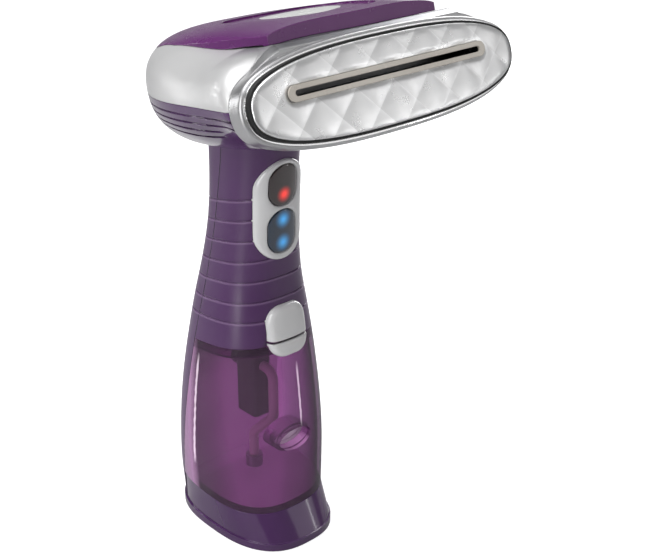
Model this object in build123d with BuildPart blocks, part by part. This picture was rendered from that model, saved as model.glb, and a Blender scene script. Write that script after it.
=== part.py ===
from build123d import *
import os
from math import copysign, cos, pi, radians, sin

# Handheld garment steamer standing upright on its foot, in millimetres.
# Origin: middle of the foot on the table, under the handle axis.
# +Z up, the steam plate faces -Y, X runs along the long plate.
# On the head, n is the distance outward along the plate normal and t the
# distance up the plate, both from the middle of the plate face.

# -------------------- driving dimensions --------------------
OVAL_POWER = 2.6                       # superellipse power of most outlines
WALL = 2.2                             # housing wall
GAP = 0.15                             # gap at the tank seams
SEAM_HALF_GAP = 0.08                   # half gap between front and rear shell

PLATE_Y, PLATE_Z = -98.7, 252.1        # middle of the plate face
PLATE_TILT = 17.9                      # plate leans back, degrees
TILT_COS = cos(radians(PLATE_TILT))
TILT_SIN = sin(radians(PLATE_TILT))

# side seam between front and rear shell: a point on it, and y gained per unit drop
SEAM_Y, SEAM_Z, SEAM_SLOPE = 8.0, 106.0, 0.155
TOP_SEAM_Z, TOP_SEAM_TILT = 106.7, 6.2     # handle / tank joint
BOT_SEAM_Z, BOT_SEAM_TILT = 21.3, -4.1     # tank / foot joint
FRONT, REAR = -1, 1                    # sides of the side seam

SPIGOT_Z, SPIGOT_R = 88.0, 4.2         # coupling between spine and tank
CORD_Z = 17.0
CORD_HOLE_R = 5.6


# -------------------- outlines and planes --------------------
def signed_power(value, power):
    return copysign(abs(value) ** (2 / power), value)


def outline(half_width, front, rear, power=OVAL_POWER, count=20):
    """Points of a closed superellipse between front and rear."""
    middle, half_depth = (front + rear) / 2, (rear - front) / 2
    points = []
    for i in range(count):
        angle = 2 * pi * i / count
        points.append((half_width * signed_power(cos(angle), power),
                       middle + half_depth * signed_power(sin(angle), power)))
    return points


def bowl(half_width, top, bottom, top_power, bottom_power, count=20):
    """Points of a closed section with different upper and lower halves."""
    points = []
    for i in range(count):
        angle = 2 * pi * i / count
        upper = sin(angle) >= 0
        power, height = (top_power, top) if upper else (bottom_power, bottom)
        points.append((half_width * signed_power(cos(angle), power),
                       height * signed_power(sin(angle), power)))
    return points


def head_point(n, t):
    """(y, z) of a point given in plate coordinates."""
    return (PLATE_Y - n * TILT_COS + t * TILT_SIN, PLATE_Z + n * TILT_SIN + t * TILT_COS)


def tilted_plane(y, z, tilt, x=0.0):
    """Plane facing -Y, leaning back by tilt degrees."""
    return Plane(origin=(x, y, z), x_dir=(1, 0, 0),
                 z_dir=(0, -cos(radians(tilt)), sin(radians(tilt))))


def head_plane(n=0.0, t=0.0, x=0.0):
    """Plane parallel to the steam plate, normal outward."""
    return tilted_plane(*head_point(n, t), PLATE_TILT, x)


def rear_plane(y, z, x=0.0):
    """Upright plane facing +Y."""
    return Plane(origin=(x, y, z), x_dir=(1, 0, 0), z_dir=(0, 1, 0))


def up_plane(x, y, z):
    return Plane(origin=(x, y, z), x_dir=(1, 0, 0), z_dir=(0, 0, 1))


def seam_y(z):
    return SEAM_Y + SEAM_SLOPE * (SEAM_Z - z)


# -------------------- basic solids, each extruded along its plane's normal --------------------
def prism(plane, points, length):
    """Smooth closed outline, extruded."""
    with BuildPart() as built:
        with BuildSketch(plane):
            with BuildLine():
                Spline(*points, periodic=True)
            make_face()
        extrude(amount=length)
    return built.part


def rod(plane, radius, length):
    with BuildPart() as built:
        with BuildSketch(plane):
            Circle(radius)
        extrude(amount=length)
    return built.part


def tube(plane, outer_radius, inner_radius, length):
    with BuildPart() as built:
        with BuildSketch(plane):
            Circle(outer_radius)
            Circle(inner_radius, mode=Mode.SUBTRACT)
        extrude(amount=length)
    return built.part


def bar(plane, width, height, length):
    with BuildPart() as built:
        with BuildSketch(plane):
            Rectangle(width, height)
        extrude(amount=length)
    return built.part


def rounded_bar(plane, width, height, radius, length):
    with BuildPart() as built:
        with BuildSketch(plane):
            RectangleRounded(width, height, radius)
        extrude(amount=length)
    return built.part


def ellipse_bar(plane, half_width, half_height, length):
    with BuildPart() as built:
        with BuildSketch(plane):
            Ellipse(half_width, half_height)
        extrude(amount=length)
    return built.part


def slot_bar(plane, width, height, length):
    with BuildPart() as built:
        with BuildSketch(plane):
            SlotOverall(width, height)
        extrude(amount=length)
    return built.part


def loft_outlines(sections):
    """Loft through (plane, points) sections."""
    with BuildPart() as built:
        for plane, points in sections:
            with BuildSketch(plane):
                with BuildLine():
                    Spline(*points, periodic=True)
                make_face()
        loft()
    return built.part


def only(solid):
    """Part that holds one solid."""
    with BuildPart() as built:
        add(solid)
    return built.part


def largest(part):
    return only(max(part.solids(), key=lambda solid: solid.volume))


# -------------------- cutting blocks --------------------
def slab(z, height, tilt=0.0):
    """Wide slab from z up (or down, if negative); a positive tilt falls to the rear."""
    plane = Plane(origin=(0, 0, z), x_dir=(1, 0, 0),
                  z_dir=(0, sin(radians(tilt)), cos(radians(tilt))))
    return bar(plane, 200, 200, height)


def seam_block(shift, side):
    """Everything in front of or behind the side seam, moved along Y by shift."""
    bottom, top, reach = -20, 260, side * 120
    with BuildPart() as built:
        with BuildSketch(Plane.YZ.offset(-100)):
            with BuildLine():
                Polyline((seam_y(top) + shift, top), (seam_y(bottom) + shift, bottom),
                         (reach, bottom), (reach, top), close=True)
            make_face()
        extrude(amount=200)
    return built.part


def slope_block(y, z, slope, height):
    """Block above (below, if negative) the plane through (y, z) that falls rearward."""
    front, rear = -140, 60
    front_z, rear_z = z - slope * (front - y), z - slope * (rear - y)
    with BuildPart() as built:
        with BuildSketch(Plane.YZ.offset(-120)):
            with BuildLine():
                Polyline((front, front_z), (rear, rear_z),
                         (rear, rear_z + height), (front, front_z + height), close=True)
            make_face()
        extrude(amount=240)
    return built.part


def head_prism(half_length, half_height, back, front, power=OVAL_POWER):
    """Superellipse prism between two levels along the plate normal."""
    return prism(head_plane(back), outline(half_length, -half_height, half_height, power),
                 front - back)


def head_ring(outer, inner, back, front, power=OVAL_POWER):
    """Ring between two (half length, half height) outlines."""
    with BuildPart() as built:
        add(head_prism(*outer, back, front, power))
        add(head_prism(*inner, back, front, power), mode=Mode.SUBTRACT)
    return built.part


def behind_level(n):
    """Everything behind level n of the head."""
    return head_prism(150, 120, -190, n)


above_top_seam = slab(TOP_SEAM_Z, 160, TOP_SEAM_TILT)
front_of_seam = seam_block(-SEAM_HALF_GAP, FRONT)
behind_seam = seam_block(SEAM_HALF_GAP, REAR)

# -------------------- envelopes of head and grip --------------------
# y, z, tilt, half width, top height, bottom height, top power, bottom power
HEAD_SECTIONS = [
    (-88.7, 248.9, 17.9, 75.5, 21.0, 21.0, 2.6, 2.6),
    (-62.0, 245.6, 14.0, 72.2, 22.2, 24.0, 2.8, 2.4),
    (-32.0, 242.0, 10.0, 67.0, 23.4, 30.5, 3.0, 2.15),
    (-6.0, 238.4, 6.0, 55.2, 22.6, 34.0, 3.1, 2.0),
    (11.0, 235.6, 4.0, 42.8, 20.5, 32.0, 3.0, 2.0),
    (21.5, 233.8, 2.0, 31.5, 17.4, 26.8, 2.8, 2.0),
    (28.3, 232.5, 1.0, 19.8, 12.8, 19.5, 2.5, 2.0),
    (31.8, 231.8, 0.0, 9.2, 6.6, 10.0, 2.3, 2.0),
]
CORE_AHEAD = 3.0                       # a core starts this far in front of the envelope

# z, half width, front y, rear y
GRIP_SECTIONS = [
    (216.0, 18.2, -31.5, 13.0),
    (203.0, 18.2, -30.2, 12.8),
    (188.0, 18.3, -28.6, 12.8),
    (172.0, 18.9, -27.4, 13.6),
    (160.0, 19.8, -26.9, 15.2),
    (150.0, 20.9, -26.8, 17.2),
    (139.0, 22.2, -27.2, 20.0),
    (127.0, 24.2, -28.6, 23.0),
    (107.0, 27.4, -31.2, 27.0),
    (90.0, 29.4, -33.2, 30.4),
    (68.0, 31.2, -35.2, 33.8),
    (45.0, 31.8, -36.3, 36.2),
    (21.0, 30.8, -36.4, 37.2),
    (-6.0, 30.0, -36.0, 37.2),
]


def head_loft(inset, core=False):
    """Head envelope drawn in by inset; a core is open at the front and stops short at the rear."""
    rows = HEAD_SECTIONS[:-1] if core else HEAD_SECTIONS
    sections = []
    for i, (y, z, tilt, half_width, top, bottom, top_power, bottom_power) in enumerate(rows):
        ahead = CORE_AHEAD if core and i == 0 else 0.0
        plane = tilted_plane(y - ahead * TILT_COS, z + ahead * TILT_SIN, tilt)
        sections.append((plane, bowl(half_width - inset, top - inset, bottom - inset,
                                     top_power, bottom_power)))
    return loft_outlines(sections)


def grip_loft(inset):
    """Grip, tank and spine envelope, drawn in by inset."""
    return loft_outlines([
        (Plane.XY.offset(z), outline(half_width - inset, front + inset, rear - inset))
        for z, half_width, front, rear in GRIP_SECTIONS])


def grip_shell(proud, depth):
    """Layer of the grip from proud of its surface down to depth."""
    return grip_loft(-proud) - grip_loft(depth)


head_outer = head_loft(0.0)
head_inner = head_loft(WALL, core=True)
grip_outer = grip_loft(0.0)
grip_inner = grip_loft(WALL)

# ======================= STEAM PLATE AND BEZEL =======================
PLATE_A, PLATE_B = 72.0, 17.7          # half length, half height of the steam plate
PLATE_BACK = -4.2
PLATE_RIM = 1.6
QUILT_PITCH, QUILT_LINE, QUILT_DEPTH = 20.4, 0.7, 0.5
SLOT_T = 3.4                           # steam slot above plate middle
SLOT_L, SLOT_H = 103.0, 2.4
FRAME_L, FRAME_H = 109.5, 6.6
GASKET_OUTER = (73.0, 18.7)
CHROME_OUTER = (74.0, 19.6)
RING_BACK = -6.6                       # rear of gasket and chrome ring
RING_FIT = 0.05
BEZEL_A, BEZEL_B = 75.5, 21.0
BEZEL_FRONT, BEZEL_BACK = -3.3, -10.5  # crest and panel line
CREST_SECTIONS = ((1.4, 0.0), (0.5, 0.25), (0.0, 0.8))    # depth below crest, inset

SHOULDER_FRONT, SHOULDER_HALF = -6.3, 43.6
SHOULDER_LOW, SHOULDER_HIGH = 20.2, 22.6   # top edge at its front and at the panel line


def grown(size, margin):
    return tuple(value + margin for value in size)


def steam_plate():
    """Quilted plate with a pan-shaped back."""
    window_plane = head_plane(PLATE_BACK, SLOT_T)
    with BuildPart() as built:
        add(head_prism(PLATE_A, PLATE_B, PLATE_BACK, 0.0))
        # shallow diamond lattice pressed into the face
        with BuildSketch(head_plane(-QUILT_DEPTH)):
            for k in range(-8, 9):
                with Locations((k * QUILT_PITCH, 0)):
                    Rectangle(QUILT_LINE, 90, rotation=45)
                    Rectangle(QUILT_LINE, 90, rotation=-45)
        extrude(amount=2.0, mode=Mode.SUBTRACT)
        add(head_prism(PLATE_A - PLATE_RIM, PLATE_B - PLATE_RIM, PLATE_BACK, PLATE_BACK + 2.4),
            mode=Mode.SUBTRACT)
        add(slot_bar(window_plane, FRAME_L, FRAME_H, 6.0), mode=Mode.SUBTRACT)
    return built.part


def slot_frame():
    plane = head_plane(PLATE_BACK, SLOT_T)
    with BuildPart() as built:
        add(slot_bar(plane, FRAME_L - 0.1, FRAME_H - 0.1, 4.6))
        add(slot_bar(plane, SLOT_L, SLOT_H, 6.0), mode=Mode.SUBTRACT)
    return built.part


def plate_gasket():
    return head_ring(GASKET_OUTER, grown((PLATE_A, PLATE_B), RING_FIT), RING_BACK, -1.3)


def chrome_ring():
    return head_ring(CHROME_OUTER, grown(GASKET_OUTER, RING_FIT), RING_BACK, -2.7)


def shoulder(back, front, bottom, grow=0.0):
    """Raised step on top of the head, ends cut at a slant."""
    slope = (SHOULDER_HIGH - SHOULDER_LOW) / (SHOULDER_FRONT - BEZEL_BACK)
    front_top = SHOULDER_HIGH - slope * max(front - BEZEL_BACK, 0.0)
    half = SHOULDER_HALF + grow
    with BuildPart() as built:
        with BuildSketch(Plane.YZ.offset(-80)):
            with BuildLine():
                Polyline(head_point(back, bottom), head_point(front, bottom),
                         head_point(front, front_top + grow),
                         head_point(back, SHOULDER_HIGH + grow), close=True)
            make_face()
        extrude(amount=160)
        with BuildSketch(head_plane(-60)):
            with BuildLine():
                Polyline((-half - 10, bottom - 1), (half + 10, bottom - 1),
                         (half + 3.4, SHOULDER_HIGH + 1.5),
                         (-half - 3.4, SHOULDER_HIGH + 1.5), close=True)
            make_face()
        extrude(amount=60, mode=Mode.INTERSECT)
    return built.part


def bezel():
    """Silver bezel around the plate."""
    with BuildPart() as built:
        add(head_prism(BEZEL_A, BEZEL_B, BEZEL_BACK, BEZEL_FRONT - CREST_SECTIONS[0][0]))
        # shoulder that climbs from the crest towards the top trim
        add(shoulder(BEZEL_BACK, SHOULDER_FRONT, 15.0))
        # rounded crest
        for depth, inset in CREST_SECTIONS:
            half_height = BEZEL_B - inset
            with BuildSketch(head_plane(BEZEL_FRONT - depth)):
                with BuildLine():
                    Spline(*outline(BEZEL_A - inset, -half_height, half_height), periodic=True)
                make_face()
        loft()
        # stepped opening
        add(head_prism(*grown(CHROME_OUTER, RING_FIT), RING_BACK, 0.0), mode=Mode.SUBTRACT)
        add(head_prism(72.5, 18.2, BEZEL_BACK, BEZEL_BACK + 6.6), mode=Mode.SUBTRACT)
    return built.part


# ======================= HEAD HOUSING =======================
# split surfaces: a point (y, z) on each and its fall per unit rearward
LOW_Y, LOW_Z, LOW_SLOPE = -88.0, 250.5, 0.16
UP_Y, UP_Z, UP_SLOPE = -82.0, 266.0, 0.187
GROOVE_DROPS = (3.2, 6.2, 9.2, 12.2)   # styling grooves, below the lower split
GROOVE_SIZE = 0.9                      # height and depth of a groove

behind_bezel = behind_level(BEZEL_BACK - 0.1)


def head_lower():
    """Lower housing with four styling grooves running round it."""
    with BuildPart() as grooves:
        for drop in GROOVE_DROPS:
            add(slope_block(LOW_Y, LOW_Z - drop, LOW_SLOPE, -GROOVE_SIZE))
        add(head_loft(GROOVE_SIZE, core=True), mode=Mode.SUBTRACT)
    with BuildPart() as built:
        add(head_outer)
        add(head_inner, mode=Mode.SUBTRACT)
        add(behind_bezel, mode=Mode.INTERSECT)
        add(slope_block(LOW_Y, LOW_Z, LOW_SLOPE, -120.0), mode=Mode.INTERSECT)
        add(grip_loft(-0.1), mode=Mode.SUBTRACT)
        add(grooves.part, mode=Mode.SUBTRACT)
    return built.part


def head_band():
    """Closed upper housing."""
    with BuildPart() as built:
        add(head_outer)
        add(head_inner, mode=Mode.SUBTRACT)
        add(behind_bezel, mode=Mode.INTERSECT)
        add(slope_block(LOW_Y, LOW_Z + 0.15, LOW_SLOPE, 120.0), mode=Mode.INTERSECT)
        # step under the front lip of the top trim
        add(shoulder(-26.0, BEZEL_BACK - 0.1, 19.6))
    return built.part


# ---- top trim ----
# y, half width, centre z, half height, power
TRIM_SECTIONS = [
    (-96.0, 49.0, 256.5, 22.6, 5.0),
    (-84.0, 50.5, 255.0, 22.2, 5.0),
    (-60.0, 54.5, 250.5, 22.6, 4.4),
    (-30.0, 57.0, 244.5, 23.4, 3.8),
    (-6.0, 54.0, 239.0, 23.2, 3.3),
    (11.0, 43.2, 235.6, 21.6, 3.0),
    (21.5, 32.2, 233.8, 18.2, 2.8),
    (28.3, 20.6, 232.5, 13.6, 2.5),
    (31.8, 10.2, 231.8, 7.6, 2.3),
]
# half outline from above: x, y, from the front corner to the rear middle
TRIM_PLAN = [
    (44.6, -97.0), (46.4, -75.0), (50.0, -50.0), (51.3, -30.0), (49.6, -10.0),
    (43.2, 8.0), (33.0, 20.0), (18.0, 29.0), (0, 32.6),
]
TRIM_FRONT = -15.8                     # front face of the trim, along the plate normal
TRIM_LIP = 3.2
TRIM_THICK, RECESS_DEPTH = 2.4, 1.0
BADGE_Y, BADGE_A, BADGE_B = -42.0, 20.0, 13.0


def trim_loft(inset):
    """Top trim envelope drawn in by inset; inner ones stop a section short at the rear."""
    rows = TRIM_SECTIONS[:-1] if inset else TRIM_SECTIONS
    return loft_outlines([
        (Plane.XZ.offset(-y), outline(half_width - inset, z - (height - inset),
                                      z + (height - inset), power))
        for y, half_width, z, height, power in rows])


trim_outer = trim_loft(0.0)
trim_core = trim_loft(TRIM_THICK)
trim_skin = trim_loft(RECESS_DEPTH)


def trim_plan():
    """Upright prism with the trim's outline from above."""
    with BuildPart() as built:
        with BuildSketch(Plane.XY.offset(225)):
            with BuildLine():
                Spline(*TRIM_PLAN)
                Line(TRIM_PLAN[-1], (0, TRIM_PLAN[0][1]))
                Line((0, TRIM_PLAN[0][1]), TRIM_PLAN[0])
            make_face()
            mirror(about=Plane.YZ)
        extrude(amount=70)
    return built.part


def top_trim():
    recess_pocket = rounded_bar(up_plane(0, -41.0, 240), 62, 44, 12, 60)
    badge_pocket = ellipse_bar(up_plane(0, BADGE_Y, 240), BADGE_A, BADGE_B, 60)
    with BuildPart() as built:
        add(trim_outer)
        add(trim_plan(), mode=Mode.INTERSECT)
        add(slope_block(UP_Y, UP_Z + 0.2, UP_SLOPE, 120.0), mode=Mode.INTERSECT)
        add(trim_core & behind_level(TRIM_FRONT - TRIM_LIP), mode=Mode.SUBTRACT)
        add(behind_level(TRIM_FRONT), mode=Mode.INTERSECT)
        # the trim lies on the closed upper housing
        add(head_loft(-0.15), mode=Mode.SUBTRACT)
        add(shoulder(-26.3, BEZEL_BACK, 15.0, 0.15), mode=Mode.SUBTRACT)
        # shallow recess, with a hole for the badge
        add((trim_outer & recess_pocket) - trim_skin, mode=Mode.SUBTRACT)
        add(trim_outer & badge_pocket, mode=Mode.SUBTRACT)
    return largest(built.part)


def badge_insert():
    with BuildPart() as built:
        add(trim_skin)
        add(ellipse_bar(up_plane(0, BADGE_Y, 200), BADGE_A - 0.1, BADGE_B - 0.1, 140),
            mode=Mode.INTERSECT)
        add(trim_core, mode=Mode.SUBTRACT)
    # the cut leaves a piece above and one below; the badge is the upper one
    return only(max(built.part.solids(), key=lambda solid: solid.center().Z))


# ======================= STEAM GENERATOR =======================
CHAMBER_A, CHAMBER_B, CHAMBER_POWER = 60.0, 12.8, 3.2
CHAMBER_BACK, GASKET_BACK, COVER_BACK = -18.5, -19.3, -21.5
CHAMBER_SCREW_X = (57.0, -57.0)
SCREW_HEAD_H = 1.6
INLET_X = 30.0
ELEMENT_N, ELEMENT_R = -24.6, 3.0      # level and rod radius of the heating element
ELEMENT_T = 8.4                        # half spacing of its legs, also the bend radius
ELEMENT_END_X, ELEMENT_BEND_X = 46, -36
THERMOSTAT_X = -14.0
FUSE_N = -24.0


def plate_carrier():
    with BuildPart() as built:
        add(head_prism(71.4, 17.1, -10.9, -6.7))
        add(head_prism(CHAMBER_A + 0.15, CHAMBER_B + 0.15, -12.0, -6.0, CHAMBER_POWER),
            mode=Mode.SUBTRACT)
    return built.part


def steam_chamber():
    with BuildPart() as built:
        add(head_prism(CHAMBER_A, CHAMBER_B, CHAMBER_BACK, -4.4, CHAMBER_POWER))
        add(head_prism(54.0, 9.6, CHAMBER_BACK, CHAMBER_BACK + 10.8, CHAMBER_POWER),
            mode=Mode.SUBTRACT)
        add(slot_bar(head_plane(-8.0, SLOT_T), SLOT_L - 2, 2.0, 6.0), mode=Mode.SUBTRACT)
        for x in CHAMBER_SCREW_X:
            add(rod(head_plane(CHAMBER_BACK, 0, x), 1.3, 9.0), mode=Mode.SUBTRACT)
    return built.part


def chamber_gasket():
    with BuildPart() as built:
        add(head_ring((59.0, 12.4), (54.6, 10.0), GASKET_BACK, CHAMBER_BACK, CHAMBER_POWER))
        for x in CHAMBER_SCREW_X:
            add(rod(head_plane(GASKET_BACK, 0, x), 1.7, CHAMBER_BACK - GASKET_BACK),
                mode=Mode.SUBTRACT)
    return built.part


def chamber_cover():
    with BuildPart() as built:
        add(head_prism(CHAMBER_A, CHAMBER_B, COVER_BACK, GASKET_BACK, CHAMBER_POWER))
        # water inlet boss
        add(rod(head_plane(COVER_BACK, 0, INLET_X), 4.5, -5.0))
        add(rod(head_plane(-27, 0, INLET_X), 1.6, 9), mode=Mode.SUBTRACT)
        for x in CHAMBER_SCREW_X:
            add(rod(head_plane(COVER_BACK, 0, x), 1.6, 4), mode=Mode.SUBTRACT)
    return built.part


def chamber_screws():
    """Two screws with cross recesses."""
    head_back = COVER_BACK - SCREW_HEAD_H
    with BuildPart() as built:
        for x in CHAMBER_SCREW_X:
            add(rod(head_plane(head_back, 0, x), 2.7, SCREW_HEAD_H))
            add(rod(head_plane(COVER_BACK, 0, x), 1.25, 11.0))
            with BuildSketch(head_plane(head_back, 0, x)):
                Rectangle(3.4, 0.8)
                Rectangle(0.8, 3.4)
            extrude(amount=0.8, mode=Mode.SUBTRACT)
    return built.part


def heating_element():
    """U-shaped rod lying behind the chamber cover."""
    with BuildPart() as built:
        with BuildLine(head_plane(ELEMENT_N)) as path:
            Line((ELEMENT_END_X, ELEMENT_T), (ELEMENT_BEND_X, ELEMENT_T))
            ThreePointArc((ELEMENT_BEND_X, ELEMENT_T), (ELEMENT_BEND_X - ELEMENT_T, 0),
                          (ELEMENT_BEND_X, -ELEMENT_T))
            Line((ELEMENT_BEND_X, -ELEMENT_T), (ELEMENT_END_X, -ELEMENT_T))
        wire = path.wires()[0]
        with BuildSketch(Plane(origin=wire @ 0, z_dir=wire % 0)):
            Circle(ELEMENT_R)
        sweep()
    return built.part


def thermostat():
    """Round body with two flat terminals."""
    body_h = 7.0
    with BuildPart() as built:
        add(rod(head_plane(COVER_BACK, 0, THERMOSTAT_X), 5.2, -body_h))
        for offset in (-2.6, 2.6):
            add(bar(head_plane(COVER_BACK - body_h, 0, THERMOSTAT_X + offset), 1.0, 4.6, -5.0))
    return built.part


def thermal_fuse():
    """Small cylinder along X with a wire at each end."""
    y, z = head_point(FUSE_N, 0)
    with BuildPart() as built:
        for x, radius, length in ((4.0, 2.45, 13.0), (-1.0, 0.5, 23.0)):
            plane = Plane(origin=(x, y, z), x_dir=(0, TILT_SIN, TILT_COS), z_dir=(1, 0, 0))
            add(rod(plane, radius, length))
    return built.part


# ======================= HANDLE SHELLS =======================
RING_HEIGHTS = (119.5, 128.8, 138.6, 148.4, 158.2, 168.0, 177.8)
RING_TILT, RING_TILT_STEP = 5.0, 1.1   # tilt of the lowest ring, growing ring by ring
HANDLE_TOP = 209.0

# control panel openings: centre z, width, height
PANEL = (176.3, 27.6, 50.0)
TURBO = (188.6, 16.6, 20.4)
READY = (165.6, 16.6, 21.6)
TURBO_Z = TURBO[0]

BUTTON_W, BUTTON_Z0, BUTTON_Z1 = 23.0, 103.0, 128.6
BUTTON_Z, BUTTON_H = (BUTTON_Z0 + BUTTON_Z1) / 2, BUTTON_Z1 - BUTTON_Z0
BUTTON_R = 8.0
SCOOP_MARGIN = 7.0


def pill(z, width, height, margin=0.0, radius=None, front=-50.0, depth=40.0):
    """Rounded upright prism running along +Y, margin added to width and height."""
    width, height = width + margin, height + margin
    if radius is None:
        radius = min(width, height) / 2 - 0.01
    return rounded_bar(rear_plane(front, z), width, height, radius, depth)


def button_pill(clearance=0.0):
    """Prism with the outline of the release button and latch tab."""
    return pill(BUTTON_Z, BUTTON_W, BUTTON_H, 2 * clearance, BUTTON_R + clearance, -60.0, 50.0)


def ring_steps():
    """Shallow ring grooves of the grip."""
    with BuildPart() as built:
        for i, z in enumerate(RING_HEIGHTS):
            add(slab(z, 1.0, RING_TILT + i * RING_TILT_STEP))
        add(grip_loft(0.55), mode=Mode.SUBTRACT)
    return built.part


grip_rings = ring_steps()
below_handle_top = slab(HANDLE_TOP, -260)


def front_floor():
    """Floor that closes the handle above the tank, open behind the button."""
    with BuildPart() as built:
        add(grip_inner)
        add(above_top_seam, mode=Mode.INTERSECT)
        add(slab(TOP_SEAM_Z + 2.0, -60, TOP_SEAM_TILT), mode=Mode.INTERSECT)
        add(front_of_seam, mode=Mode.INTERSECT)
        add(bar(up_plane(0, -30, 90), BUTTON_W + 2.0, 20, 40), mode=Mode.SUBTRACT)
    return built.part


def handle_front():
    with BuildPart() as shell:
        add(grip_outer)
        add(grip_inner, mode=Mode.SUBTRACT)
        add(front_of_seam, mode=Mode.INTERSECT)
        add(above_top_seam, mode=Mode.INTERSECT)
        add(below_handle_top, mode=Mode.INTERSECT)
        add(grip_rings, mode=Mode.SUBTRACT)
        add(pill(*PANEL, margin=0.1), mode=Mode.SUBTRACT)
        add(button_pill(0.07), mode=Mode.SUBTRACT)
    # shallow scoop above and around the release button
    scoop = pill(BUTTON_Z + 1.5, BUTTON_W, BUTTON_H, SCOOP_MARGIN, front=-60.0, depth=31.3)
    scooped = shell.part - (scoop - grip_loft(1.1))
    with BuildPart() as built:
        add(largest(scooped))
        add(front_floor())
    return built.part


def handle_rear():
    """Grip back and the spine that carries on down behind the tank."""
    spine_room = grip_inner & seam_block(2.2, REAR)
    grip_room = grip_inner & above_top_seam
    with BuildPart() as built:
        add(grip_outer)
        add(behind_seam, mode=Mode.INTERSECT)
        add(below_handle_top, mode=Mode.INTERSECT)
        add(slab(-20, 25.0), mode=Mode.SUBTRACT)
        add(spine_room, mode=Mode.SUBTRACT)
        add(grip_room, mode=Mode.SUBTRACT)
        add(grip_rings, mode=Mode.SUBTRACT)
        add(rod(rear_plane(0, SPIGOT_Z), SPIGOT_R + 1.05, 20), mode=Mode.SUBTRACT)
        # cord outlet
        add(rod(rear_plane(30, CORD_Z), CORD_HOLE_R, 30), mode=Mode.SUBTRACT)
    return built.part


# ======================= CONTROL PANEL =======================
LENS_R, LENS_POCKET_R = 7.7, 7.8
BOARD_Y, BOARD_THICK = -18.0, 1.6
LED_PLACES = ((6.0, 184.0), (0.0, 171.0), (0.0, 160.5))       # x, z
BOARD_SCREW_PLACES = ((-9.6, 156.0), (9.6, 196.5))            # x, z

lens_zone = grip_shell(1.3, 1.6)


def panel_bezel():
    with BuildPart() as built:
        add(grip_shell(0.9, WALL))
        add(pill(*PANEL), mode=Mode.INTERSECT)
        add(pill(*TURBO, margin=0.16, radius=LENS_POCKET_R), mode=Mode.SUBTRACT)
        add(pill(*READY, margin=0.1, radius=LENS_POCKET_R), mode=Mode.SUBTRACT)
    return built.part


def turbo_button():
    """Button with a round stem behind it."""
    with BuildPart() as built:
        add(lens_zone)
        add(pill(*TURBO, radius=LENS_R), mode=Mode.INTERSECT)
        add(rod(rear_plane(-27.8, TURBO_Z), 2.2, 5.2))
    return built.part


def ready_lens():
    with BuildPart() as built:
        add(lens_zone)
        add(pill(*READY, radius=LENS_R), mode=Mode.INTERSECT)
    return built.part


def control_board():
    return rounded_bar(rear_plane(BOARD_Y, 176.0), 24.0, 46.0, 2.0, BOARD_THICK)


def indicator_leds():
    with BuildPart() as built:
        for x, z in LED_PLACES:
            add(rod(rear_plane(BOARD_Y, z, x), 1.5, -3.4))
    return built.part


def turbo_switch():
    return bar(rear_plane(BOARD_Y, TURBO_Z), 6.2, 6.2, -3.4)


def board_screws():
    with BuildPart() as built:
        for x, z in BOARD_SCREW_PLACES:
            add(rod(rear_plane(BOARD_Y + BOARD_THICK, z, x), 1.9, 1.2))
    return built.part


# ======================= PUMP AND WATER WAY =======================
PUMP_Y = -2.0
PUMP_BOTTOM, PUMP_TOP = 120.0, 166.0   # ends of the pump's tube
HOSE_R, HOSE_BORE = 2.6, 1.5
LEG_Y = 20.0                           # coupling leg that receives the lower hose
SPINE_Y = seam_y(SPIGOT_Z)
INLET = head_plane(-26.6, 0, INLET_X).origin

LOWER_HOSE_POINTS = [
    (0, LEG_Y, 96.1), (0, 18.2, 104.5), (0, 10.5, 111.8), (0, 2.0, 114.8),
    (0, PUMP_Y, PUMP_BOTTOM - 0.1),
]
UPPER_HOSE_POINTS = [
    (0, PUMP_Y, PUMP_TOP + 0.1), (0, -3.0, 190.0), (4.0, -8.0, 214.0), (20.0, -40.0, 233.0),
    (INLET.X, INLET.Y, INLET.Z),
]


def pump():
    with BuildPart() as built:
        add(rod(up_plane(0, PUMP_Y, 128.0), 10.5, 30.0))
        add(rounded_bar(up_plane(0, PUMP_Y, 132.0), 25.0, 21.0, 2.0, 20.0))
        add(rod(up_plane(0, PUMP_Y, PUMP_BOTTOM), 3.0, PUMP_TOP - PUMP_BOTTOM))
        add(rod(up_plane(0, PUMP_Y, PUMP_BOTTOM), 1.5, PUMP_TOP - PUMP_BOTTOM),
            mode=Mode.SUBTRACT)
    return built.part


def pump_mount():
    return tube(up_plane(0, PUMP_Y, 158.0), 12.0, 3.3, 3.0)


def hose_run(points, tangents, radius):
    with BuildPart() as built:
        with BuildLine() as path:
            Spline(*points, tangents=tangents)
        wire = path.wires()[0]
        with BuildSketch(Plane(origin=wire @ 0, z_dir=wire % 0)):
            Circle(radius)
        sweep()
    return built.part


def hose(points, tangents):
    with BuildPart() as built:
        add(hose_run(points, tangents, HOSE_R))
        add(hose_run(points, tangents, HOSE_BORE), mode=Mode.SUBTRACT)
    return built.part


def lower_hose():
    return hose(LOWER_HOSE_POINTS, ((0, 0, 1), (0, 0, 1)))


def upper_hose():
    return hose(UPPER_HOSE_POINTS, ((0, 0, 1), (0, -TILT_COS, TILT_SIN)))


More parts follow.
